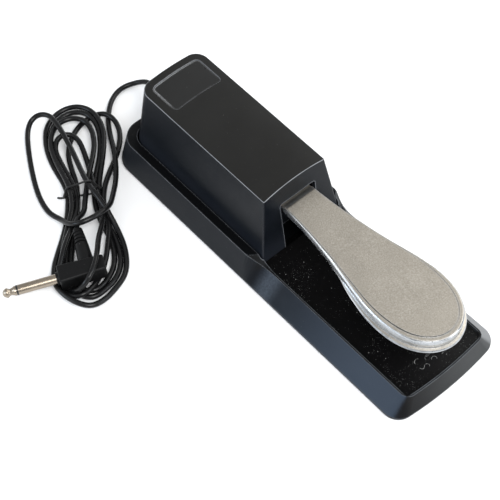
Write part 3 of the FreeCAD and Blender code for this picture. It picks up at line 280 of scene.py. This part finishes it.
def abs_plastic(name, top=(0.0102, 0.0099, 0.0091), side=(0.0006, 0.0020, 0.0046), low=(0.0150, 0.0180, 0.0250), dust=0.0, grain=1.0, spec=0.16, rough=0.40,
                edge_wear_and_highlight=(0.165, 0.175, 0.190)):
    g = Graph(name)
    big = g.noise(22.0, 4.0, 0.6)
    mid = g.noise(140.0, 4.0, 0.6)
    fine = g.noise(2300.0, 2.0, 0.5)
    e = g.edge(0.0015, 0.012, 0.16)
    up = facing_up(g, 0.35, 0.80)
    x, y, z = g.xyz()
    # painted light: upward faces get the top tone, the sides a darker bluish painted shade that turns to a lighter
    # bluish painted reflection towards the foot
    base = g.mix(up, g.mix(g.ramp(z, 0.010, 0.036, 1, 0), side, low), top)
    col = g.mix(big, g.mix(0.18, base, (0, 0, 0)), g.mix(0.10, base, (0.05, 0.05, 0.05)))
    # the recess for the label shows its rim as a painted highlight at the rear and on the left, less at the front and
    # on the right
    a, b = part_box("label_plate")
    rim = g.math("MULTIPLY", g.ramp(y, a[1] + 0.001, a[1] + 0.012, 0.15, 1.0), g.ramp(x, b[0] - 0.010, b[0] + 0.001, 1.0, 0.35))
    e = g.math("MULTIPLY", e, g.mix(up, (1.0, 1.0, 1.0), rim))
    # edges lighter: partly wear, partly painted highlight along the rounded edges, brightest on upward faces
    col = g.mix(g.math("MULTIPLY", e, g.ramp(mid, 0.3, 0.7, 0.62, 0.95)), col, g.mix(up, edge_wear_and_highlight, (0.30, 0.305, 0.31)))
    # painted highlight: thin bright line where the rounded edge turns over
    ge = g.nt.nodes.new("ShaderNodeNewGeometry")
    nx, ny, nz = g.xyz(ge.outputs["Normal"])
    turn = g.math("MULTIPLY", g.ramp(nz, 0.50, 0.66, 0, 1), g.ramp(nz, 0.84, 0.94, 1, 0))
    turn = g.math("MULTIPLY", turn, g.ramp(z, 0.045, 0.050, 0, 1))
    col = g.mix(g.math("MULTIPLY", turn, g.ramp(mid, 0.3, 0.7, 0.70, 1.0)), col, (0.225, 0.235, 0.250))
    lint = specks(g, 520.0, 0.085, 0.035 + dust * 0.05)
    motes = specks(g, 1250.0, 0.16, 0.03 + dust * 0.06)
    dirt = g.math("MAXIMUM", g.math("MULTIPLY", lint, 0.45), g.math("MULTIPLY", motes, 0.30))
    dirt = g.math("MULTIPLY", dirt, g.math("ADD", g.math("MULTIPLY", up, 0.6), 0.4))
    col = g.mix(dirt, col, (0.30, 0.30, 0.29))
    r = g.math("ADD", g.ramp(big, 0.3, 0.7, rough - 0.03, rough + 0.05), g.ramp(mid, 0.3, 0.7, -0.025, 0.03))
    r = g.math("SUBTRACT", r, g.math("MULTIPLY", e, 0.12))
    r = g.math("ADD", r, g.math("MULTIPLY", dirt, 0.3), clamp=True)
    n = g.bump(fine, 0.10 * grain, 0.00012)
    return g.set(color=col, rough=r, normal=n, spec=spec)


def base_plastic(name):
    """The base: the same moulded plastic, with a sunk deck that has gathered dust and small scuffs."""
    g = Graph(name)
    x, y, z = g.xyz()
    big = g.noise(22.0, 4.0, 0.6)
    mid = g.noise(150.0, 4.0, 0.6)
    fine = g.noise(2300.0, 2.0, 0.5)
    e = g.edge(0.0011, 0.012, 0.17)
    up = facing_up(g, 0.80, 0.97)
    ax = g.math("ABSOLUTE", x)
    yb = g.math("SUBTRACT", y, g.math("MULTIPLY", g.math("MULTIPLY", x, x), 1.9))
    deck = g.math("MULTIPLY", g.ramp(ax, 0.0306, 0.0314, 1, 0), g.math("MULTIPLY", g.band(yb, -0.1272, 0.004, 0.0005), g.ramp(z, 0.0158, 0.0170, 1, 0)))
    col = g.mix(big, (0.0085, 0.0098, 0.0122), (0.0125, 0.0140, 0.0165))
    # painted light: upward faces a little lighter
    col = g.mix(g.math("MULTIPLY", up, 0.6), col, (0.0150, 0.0152, 0.0155))
    # the flat rim beside the housing stays in its shade
    col = g.mix(g.math("MULTIPLY", up, g.ramp(y, -0.024, -0.010, 0, 0.9)), col, (0.0018, 0.0020, 0.0024))
    # painted reflection: the sloping border is given lighter cool greys towards the toe on its left, front and right
    # flanks, the front flank lighter towards the right, with a painted bluish highlight (gleam) on the left flank near
    # the scoop
    ge = g.nt.nodes.new("ShaderNodeNewGeometry")
    nx, ny, nz = g.xyz(ge.outputs["Normal"])
    slope = g.math("MULTIPLY", g.ramp(nz, 0.25, 0.45, 0, 1), g.ramp(nz, 0.86, 0.95, 1, 0))
    lf = g.math("MULTIPLY", slope, g.ramp(nx, -0.35, -0.60, 0, 1))
    fr = g.math("MULTIPLY", slope, g.ramp(ny, -0.35, -0.60, 0, 1))
    rt = g.math("MULTIPLY", slope, g.ramp(nx, 0.35, 0.60, 0, 1))
    fore = g.ramp(y, -0.105, -0.002, 1, 0)
    col = g.mix(lf, col, g.mix(fore, (0.0050, 0.0062, 0.0085), (0.0315, 0.0415, 0.0580)))
    gleam = g.math("MULTIPLY", lf, g.band(y, -0.0155, -0.0135, 0.0095))
    gleam = g.math("MULTIPLY", gleam, g.ramp(g.noise(700.0, 3.0, 0.6), 0.3, 0.7, 0.65, 1.0))
    col = g.mix(g.math("MULTIPLY", gleam, 0.55), col, (0.070, 0.085, 0.108))
    col = g.mix(fr, col, g.mix(g.ramp(x, -0.042, 0.026), (0.0070, 0.0070, 0.0073), (0.056, 0.058, 0.059)))
    # rounded left corner at the toe falls into shade
    turn = g.math("MULTIPLY", g.ramp(nx, -0.71, -0.60, 0, 1), g.ramp(ny, -0.10, -0.30, 0, 1))
    turn = g.math("MULTIPLY", g.math("MULTIPLY", turn, slope), g.math("MULTIPLY", g.ramp(x, -0.030, -0.036, 0, 1), g.ramp(y, -0.112, -0.120, 0, 1)))
    col = g.mix(g.math("MULTIPLY", turn, 0.70), col, (0.006, 0.006, 0.007))
    col = g.mix(rt, col, g.mix(fore, (0.045, 0.047, 0.050), (0.17, 0.175, 0.18)))
    # edges lighter: partly wear, partly painted highlight
    col = g.mix(g.math("MULTIPLY", e, g.ramp(mid, 0.3, 0.7, 0.60, 0.95)), col, (0.150, 0.160, 0.174))
    # the sunk deck is very dark plastic, darkened further by painted shade of the recess, with a patchy lighter grey of
    # painted light towards the toe and the right
    toe_painted_light = g.math("MULTIPLY", g.ramp(y, -0.128, -0.096, 1, 0), g.ramp(x, -0.030, 0.026, 0.15, 1.0))
    toe_painted_light = g.math("MULTIPLY", toe_painted_light, g.ramp(g.noise(30.0, 4.0, 0.6), 0.25, 0.75, 0.55, 1.0))
    dk = g.mix(toe_painted_light, (0.0003, 0.0003, 0.0004), (0.0105, 0.0105, 0.0103))
    col = g.mix(deck, col, dk)
    # dust lies thicker in patches, mostly on the deck
    patch = g.ramp(g.noise(48.0, 3.0, 0.6), 0.42, 0.72)
    lint = specks(g, 420.0, 0.12, 0.20)
    motes = specks(g, 1050.0, 0.18, 0.22)
    fluff = specks(g, 1900.0, 0.26, 0.24)
    d = g.math("MAXIMUM", g.math("MULTIPLY", lint, 0.85), g.math("MULTIPLY", motes, g.math("ADD", g.math("MULTIPLY", patch, 0.6), 0.25)))
    d = g.math("MAXIMUM", d, g.math("MULTIPLY", g.math("MULTIPLY", fluff, patch), 0.55))
    d = g.math("MULTIPLY", d, g.math("ADD", g.math("MULTIPLY", deck, 0.9), 0.08))
    col = g.mix(d, col, (0.34, 0.34, 0.33))
    # small curls scuffed into the deck in front of the toe
    marks = None
    for cx, cy, rad, w, a0, a1 in ((-0.0018, -0.1124, 0.0017, 0.00009, -2.4, 1.9), (-0.0092, -0.1133, 0.0021, 0.00010, 0.9, 3.0),
                                   (-0.0005, -0.1178, 0.0015, 0.00009, -0.6, 2.7), (-0.0025, -0.1155, 0.0024, 0.00008, 1.2, 2.9),
                                   (-0.0096, -0.1166, 0.0018, 0.00009, -2.9, -0.3), (-0.0069, -0.1184, 0.0013, 0.00008, -1.0, 1.8),
                                   (0.0086, -0.1184, 0.0016, 0.00008, 0.3, 2.6), (0.0055, -0.1174, 0.0013, 0.00008, -1.9, 0.4)):
        dx = g.math("SUBTRACT", x, cx)
        dy = g.math("SUBTRACT", y, cy)
        rr_ = g.math("SQRT", g.math("ADD", g.math("MULTIPLY", dx, dx), g.math("MULTIPLY", dy, dy)))
        wob = g.math("MULTIPLY", g.math("SUBTRACT", g.noise(420.0, 2.0, 0.5), 0.5), 0.0012)
        off = g.math("ABSOLUTE", g.math("SUBTRACT", g.math("ADD", rr_, wob), rad))
        an = g.math("ARCTAN2", dy, dx)
        k = g.math("MULTIPLY", g.ramp(off, w * 0.6, w * 1.7, 1, 0), g.band(an, a0, a1, 0.25))
        marks = k if marks is None else g.math("MAXIMUM", marks, k)
    marks = g.math("MULTIPLY", g.math("MULTIPLY", marks, deck), g.ramp(g.noise(900.0, 2.0, 0.6), 0.35, 0.6, 0.35, 1.0))
    col = g.mix(g.math("MULTIPLY", marks, 0.62), col, (0.40, 0.40, 0.39))
    r = g.math("ADD", g.ramp(big, 0.3, 0.7, 0.36, 0.44), g.ramp(mid, 0.3, 0.7, -0.025, 0.03))
    r = g.math("ADD", r, g.math("MULTIPLY", deck, 0.30))
    r = g.math("SUBTRACT", r, g.math("MULTIPLY", e, 0.10))
    r = g.math("ADD", r, g.math("MULTIPLY", g.math("ADD", d, marks), 0.3), clamp=True)
    h = g.math("ADD", fine, g.math("MULTIPLY", d, 1.2))
    n = g.bump(h, 0.10, 0.00012)
    return g.set(color=col, rough=r, normal=n, spec=0.062)


def satin_nickel(name):
    """Cast pedal, blasted and nickel plated: a satin plateau, with shoulder, wall and lip polished bright; their bluish
    tone is a painted reflection.
    """
    g = Graph(name)
    e = g.edge(0.0012, 0.015, 0.22)
    up = facing_up(g, 0.90, 0.985)
    big = g.noise(16.0, 4.0, 0.6)
    blot = g.noise(85.0, 4.0, 0.65)
    fine = g.noise(1500.0, 3.0, 0.6)
    pits = specks(g, 900.0, 0.14, 0.05)
    wipe = g.noise(60.0, 3.0, 0.6, g.stretch((9.0, 1.0, 1.0)))
    grain = g.noise(1250.0, 2.0, 0.7)
    col = g.mix(big, (0.398, 0.364, 0.311), (0.430, 0.394, 0.339))
    col = g.mix(g.ramp(blot, 0.35, 0.7, 0.0, 0.18), col, (0.475, 0.444, 0.394))
    col = g.mix(g.ramp(grain, 0.34, 0.50, 0.34, 0.0), col, (0.235, 0.215, 0.185))
    col = g.mix(g.ramp(grain, 0.52, 0.68, 0.0, 0.34), col, (0.70, 0.67, 0.62))
    polish_and_reflection = g.mix(blot, (0.370, 0.385, 0.402), (0.455, 0.470, 0.486))
    x, y, z = g.xyz()
    streak = g.noise(210.0, 3.0, 0.6, g.stretch((1.0, 1.0, 5.0)))
    polish_and_reflection = g.mix(g.ramp(streak, 0.45, 0.72, 0.0, 0.60), polish_and_reflection, (0.150, 0.155, 0.157))
    # painted highlight: towards the neck the shoulder is brightest
    polish_and_reflection = g.mix(g.ramp(y, -0.088, -0.052, 0, 0.85), polish_and_reflection, (0.86, 0.88, 0.89))
    col = g.mix(up, polish_and_reflection, col)
    # edges lighter: painted highlight along the rounded edges
    col = g.mix(g.math("MULTIPLY", e, 0.45), col, (0.74, 0.755, 0.77))
    col = g.mix(g.math("MULTIPLY", pits, 0.55), col, (0.26, 0.25, 0.235))
    r = g.math("ADD", g.ramp(blot, 0.3, 0.7, 0.43, 0.48), g.ramp(wipe, 0.3, 0.7, -0.03, 0.03))
    r = g.math("SUBTRACT", r, g.math("MULTIPLY", g.math("SUBTRACT", 1.0, up), 0.17), clamp=True)
    r = g.math("SUBTRACT", r, g.math("MULTIPLY", e, 0.08), clamp=True)
    h = g.math("SUBTRACT", g.math("ADD", fine, g.math("MULTIPLY", blot, 0.6)), g.math("MULTIPLY", pits, 1.2))
    n = g.bump(h, 0.26, 0.00010)
    return g.set(color=col, metal=1.0, rough=r, normal=n)


def plain_metal(name, a, b, rough, grain=900.0, bump=0.12, wear=(0.85, 0.84, 0.82)):
    g = Graph(name)
    big = g.noise(120.0, 4.0, 0.6)
    fine = g.noise(grain, 3.0, 0.6)
    e = g.edge(0.0004, 0.03, 0.3)
    col = g.mix(big, a, b)
    col = g.mix(g.math("MULTIPLY", e, 0.5), col, wear)
    r = g.math("SUBTRACT", g.ramp(big, 0.3, 0.7, rough - 0.05, rough + 0.07), g.math("MULTIPLY", e, 0.08), clamp=True)
    return g.set(color=col, metal=1.0, rough=r, normal=g.bump(fine, bump, 0.00005))


def moulded(name, a, b, rough, grain=1400.0, bump=0.12, spec=0.4, dust=0.0, wear=None, dist=0.0001):
    g = Graph(name)
    big = g.noise(60.0, 4.0, 0.6)
    fine = g.noise(grain, 3.0, 0.6)
    col = g.mix(big, a, b)
    if wear is not None:
        e = g.edge(0.0006, 0.03, 0.3)
        col = g.mix(g.math("MULTIPLY", e, 0.5), col, wear)
    r = g.ramp(big, 0.3, 0.7, rough - 0.05, rough + 0.07)
    if dust > 0:
        d = specks(g, 900.0, 0.18, dust)
        col = g.mix(g.math("MULTIPLY", d, 0.5), col, (0.38, 0.37, 0.35))
        r = g.math("ADD", r, g.math("MULTIPLY", d, 0.3), clamp=True)
    return g.set(color=col, rough=r, normal=g.bump(fine, bump, dist), spec=spec)


def cable_pvc(name):
    """Soft PVC jacket, slightly glossy, with faint lengthways drag marks and dust."""
    g = Graph(name)
    big = g.noise(70.0, 4.0, 0.6)
    fine = g.noise(1100.0, 3.0, 0.6)
    scuff = g.ramp(g.noise(330.0, 4.0, 0.7), 0.56, 0.74)
    col = g.mix(big, (0.0032, 0.0032, 0.0035), (0.0060, 0.0060, 0.0062))
    col = g.mix(g.math("MULTIPLY", scuff, 0.30), col, (0.022, 0.022, 0.021))
    d = specks(g, 1100.0, 0.20, 0.07)
    col = g.mix(g.math("MULTIPLY", d, 0.35), col, (0.24, 0.235, 0.23))
    r = g.math("ADD", g.ramp(big, 0.3, 0.7, 0.18, 0.27), g.math("MULTIPLY", g.math("ADD", scuff, d), 0.18), clamp=True)
    return g.set(color=col, rough=r, normal=g.bump(g.math("ADD", fine, g.math("MULTIPLY", big, 1.5)), 0.07, 0.00010), spec=0.24)


M = {
    "abs_black": abs_plastic("abs_black"),
    "abs_base": base_plastic("abs_base"),
    "sole_rubber": moulded("sole_rubber", (0.010, 0.010, 0.010), (0.018, 0.018, 0.018), 0.75, 700.0, 0.25, 0.3, dust=0.15),
    "label_film": abs_plastic("label_film", top=(0.0125, 0.0124, 0.0120), grain=0.35, spec=0.22, rough=0.28),
    "nickel_satin": satin_nickel("nickel_satin"),
    "zinc_steel": plain_metal("zinc_steel", (0.48, 0.49, 0.50), (0.60, 0.60, 0.60), 0.34),
    "pin_steel": plain_metal("pin_steel", (0.52, 0.52, 0.52), (0.62, 0.62, 0.61), 0.22),
    "spring_steel": plain_metal("spring_steel", (0.30, 0.30, 0.31), (0.42, 0.42, 0.42), 0.28),
    "brass_tin": plain_metal("brass_tin", (0.62, 0.58, 0.48), (0.72, 0.70, 0.62), 0.30),
    "plug_nickel": plain_metal("plug_nickel", (0.270, 0.228, 0.178), (0.350, 0.300, 0.242), 0.24, 1500.0, 0.03, wear=(0.52, 0.49, 0.44)),
    "nylon_white": moulded("nylon_white", (0.62, 0.61, 0.57), (0.72, 0.71, 0.68), 0.45),
    "felt_grey": moulded("felt_grey", (0.09, 0.09, 0.09), (0.20, 0.20, 0.19), 0.95, 2600.0, 0.8, 0.1, dist=0.0004),
    "bumper_rubber": moulded("bumper_rubber", (0.012, 0.012, 0.012), (0.022, 0.022, 0.022), 0.7, 900.0, 0.25, 0.3),
    "switch_black": moulded("switch_black", (0.010, 0.010, 0.011), (0.018, 0.018, 0.019), 0.4, wear=(0.05, 0.05, 0.05)),
    "plunger_red": moulded("plunger_red", (0.42, 0.018, 0.014), (0.52, 0.030, 0.022), 0.35),
    "wire_pvc": moulded("wire_pvc", (0.30, 0.020, 0.016), (0.40, 0.030, 0.022), 0.4),
    "cable_pvc": cable_pvc("cable_pvc"),
    "plug_pvc": moulded("plug_pvc", (0.0030, 0.0030, 0.0032), (0.0056, 0.0056, 0.0058), 0.40, 1500.0, 0.16, 0.15, dust=0.08, wear=(0.028, 0.028, 0.028)),
    "ring_black": moulded("ring_black", (0.006, 0.006, 0.006), (0.012, 0.012, 0.012), 0.3),
    "tie_pvc": moulded("tie_pvc", (0.0050, 0.0050, 0.0050), (0.0100, 0.0100, 0.0100), 0.34, 1500.0, 0.1, 0.4, dust=0.05),
}
SLOT_OF = {}
for name, ob in NODES.items():
    for s in ob.material_slots:
        if s.material is not None:
            SLOT_OF.setdefault(name, s.material.name)
BY_NODE = {
    "bottom_pad": "sole_rubber", "base_chassis": "abs_base", "tower_cover": "abs_black", "label_plate": "label_film",
    "pedal_lever": "nickel_satin", "pivot_bushes": "nylon_white", "pivot_bracket": "zinc_steel", "pivot_pin": "pin_steel",
    "pivot_clips": "spring_steel", "bracket_screws": "zinc_steel", "cover_screws": "zinc_steel", "return_spring": "spring_steel",
    "spring_cup": "nylon_white", "upstop_felt": "felt_grey", "downstop_rubber": "bumper_rubber", "switch_body": "switch_black",
    "switch_plunger": "plunger_red", "switch_terminals": "brass_tin", "switch_screws": "zinc_steel", "polarity_body": "switch_black",
    "polarity_knob": "nylon_white", "polarity_terminals": "brass_tin", "cable_grommet": "plug_pvc", "cable_tail": "cable_pvc",
    "cable_clamp": "zinc_steel", "clamp_screws": "zinc_steel", "inner_wires": "wire_pvc", "cord_lead": "cable_pvc",
    "cord_hank": "cable_pvc", "cord_tie": "tie_pvc", "plug_body": "plug_pvc", "plug_sleeve": "plug_nickel",
    "plug_insulator": "ring_black", "plug_tip": "plug_nickel",
}
for name, ob in NODES.items():
    mat = M[BY_NODE[name]]
    if not ob.material_slots:
        ob.data.materials.append(mat)
    for s in ob.material_slots:
        s.material = mat

# ------------------------------------------------------------------ cord pieces
cord.data.materials.append(M["cable_pvc"])
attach(cord, "frame")
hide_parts("cord_lead", "cord_hank")
LINE = line_points(cord)
CORD_LEN = sum((LINE[k + 1] - LINE[k]).length for k in range(len(LINE) - 1))
print("cord length mm", round(CORD_LEN, 1))

# tie: a thin band drawn round the strands where the hank is narrowest
TIE_A = Vector((-84.6, 122.6, 0.0))
TIE_B = Vector((-66.4, 112.2, 0.0))
TT = (TIE_B - TIE_A).normalized()
TN = Vector((-TT.y, TT.x, 0.0))
cuts = []
for k in range(len(LINE) - 1):
    a, b = LINE[k], LINE[k + 1]
    da, db = (a - TIE_A).dot(TN), (b - TIE_A).dot(TN)
    if (da < 0) != (db < 0):
        p = a.lerp(b, da / (da - db))
        s = (p - TIE_A).dot(TT)
        if -9.0 < s < (TIE_B - TIE_A).length + 9.0:
            cuts.append((s, p.z, k))
print("strands through the tie", [(round(s, 1), round(z, 1)) for s, z, k in sorted(cuts)])

def hull(pts):
    pts = sorted(set((round(a, 4), round(b, 4)) for a, b in pts))

    def half(seq):
        out = []
        for q in seq:
            while len(out) > 1 and (out[-1][0] - out[-2][0]) * (q[1] - out[-2][1]) - (out[-1][1] - out[-2][1]) * (q[0] - out[-2][0]) <= 0:
                out.pop()
            out.append(q)
        return out

    a, b = half(pts), half(pts[::-1])
    return a[:-1] + b[:-1]


TIE_D = 1.3
gap = CORD_D * 0.5 + TIE_D * 0.5 + 0.12
ring = []
for s, z, k in cuts:
    if -2.0 < s < 22.0:
        for j in range(24):
            a = 2.0 * math.pi * j / 24.0
            ring.append((s + gap * math.cos(a), max(TIE_D * 0.5 + 0.05, z + gap * math.sin(a))))
loop = hull(ring)
loop = loop + [loop[0]]
walk = [0.0]
for j in range(1, len(loop)):
    walk.append(walk[-1] + math.hypot(loop[j][0] - loop[j - 1][0], loop[j][1] - loop[j - 1][1]))
count = 44
band = []
j = 0
for m in range(count):
    want = walk[-1] * m / count
    while walk[j + 1] < want:
        j += 1
    t = (want - walk[j]) / max(1e-6, walk[j + 1] - walk[j])
    s = loop[j][0] + t * (loop[j + 1][0] - loop[j][0])
    z = loop[j][1] + t * (loop[j + 1][1] - loop[j][1])
    p = TIE_A + TT * s
    band.append((p.x, p.y, z))
tie = nurbs_line("tie", band, TIE_D, cyclic=True)
tie.data.materials.append(M["tie_pvc"])
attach(tie, "frame")
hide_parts("cord_tie")
# the twisted end of the band, lying off the left of the hank
low = min(q[0] for q in loop)
stub = [TIE_A + TT * (low + 0.1), TIE_A + TT * (low - 1.2) + TN * 0.1, TIE_A + TT * (low - 2.6) + TN * 0.5, TIE_A + TT * (low - 3.9) + TN * 1.1]
tail = nurbs_line("tie_end", [(q.x, q.y, h) for q, h in zip(stub, (1.3, 1.0, 0.75, 0.7))], TIE_D)
tail.data.materials.append(M["tie_pvc"])
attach(tail, "frame")

# the return spring is replaced by its own copy, held by the frame
src = NODES["return_spring"]
coil = bpy.data.objects.new("return_coil", src.data.copy())
scene.collection.objects.link(coil)
bpy.context.view_layer.update()
coil.matrix_world = src.matrix_world.copy()
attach(coil, "frame")
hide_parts("return_spring")
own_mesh(coil)


# ------------------------------------------------------------------ floor and light
bm = bmesh.new()
bmesh.ops.create_grid(bm, x_segments=24, y_segments=24, size=4.0)
me = bpy.data.meshes.new("floor")
bm.to_mesh(me)
bm.free()
floor = bpy.data.objects.new("floor", me)
scene.collection.objects.link(floor)
gf = Graph("floor_white")
fn = gf.noise(9.0, 3.0, 0.5)
gf.set(color=gf.mix(fn, (0.94, 0.94, 0.94), (0.95, 0.95, 0.95)), rough=0.9, spec=0.1)
me.materials.append(gf.mat)
floor.location.z = -0.0001

world = bpy.data.worlds.new("studio")
scene.world = world
world.use_nodes = True
bg = world.node_tree.nodes["Background"]
bg.inputs["Color"].default_value = (0.97, 0.985, 1.0, 1.0)
bg.inputs["Strength"].default_value = 0.69


def area(name, loc, target, size, power, color=(1, 1, 1)):
    d = bpy.data.lights.new(name, "AREA")
    d.shape = "RECTANGLE"
    d.size, d.size_y = size
    d.energy = power
    d.color = color
    o = bpy.data.objects.new(name, d)
    scene.collection.objects.link(o)
    o.location = loc
    o.rotation_euler = (Vector(target) - Vector(loc)).to_track_quat("-Z", "Y").to_euler()
    return o


area("key", (-0.35, -0.9, 1.5), (0, 0, 0), (0.8, 0.8), 22.0)
area("left", (-1.6, 0.5, 0.9), (0, 0, 0.03), (1.2, 1.2), 9.0, (0.86, 0.92, 1.0))
area("right", (1.4, -0.2, 1.1), (0, 0, 0.03), (1.2, 1.2), 12.0, (1.0, 0.98, 0.95))
area("scoop", (0.59, -0.80, 1.22), (0, 0, 0.03), (0.22, 0.22), 2.2, (0.80, 0.90, 1.0))
# low strips that draw the thin bright lines along the edges
area("rim_left", (-1.55, 0.78, 0.62), (0, 0, 0.03), (0.7, 0.35), 5.0, (0.62, 0.80, 1.0))
area("rim_front", (0.62, -1.40, 0.74), (0, 0, 0.03), (0.9, 0.35), 6.0, (0.95, 0.98, 1.0))
area("rim_right", (1.60, 0.70, 0.22), (0, 0, 0.03), (0.7, 0.30), 4.0, (0.92, 0.96, 1.0))
scene.view_settings.view_transform = "Standard"
scene.view_settings.look = "None"
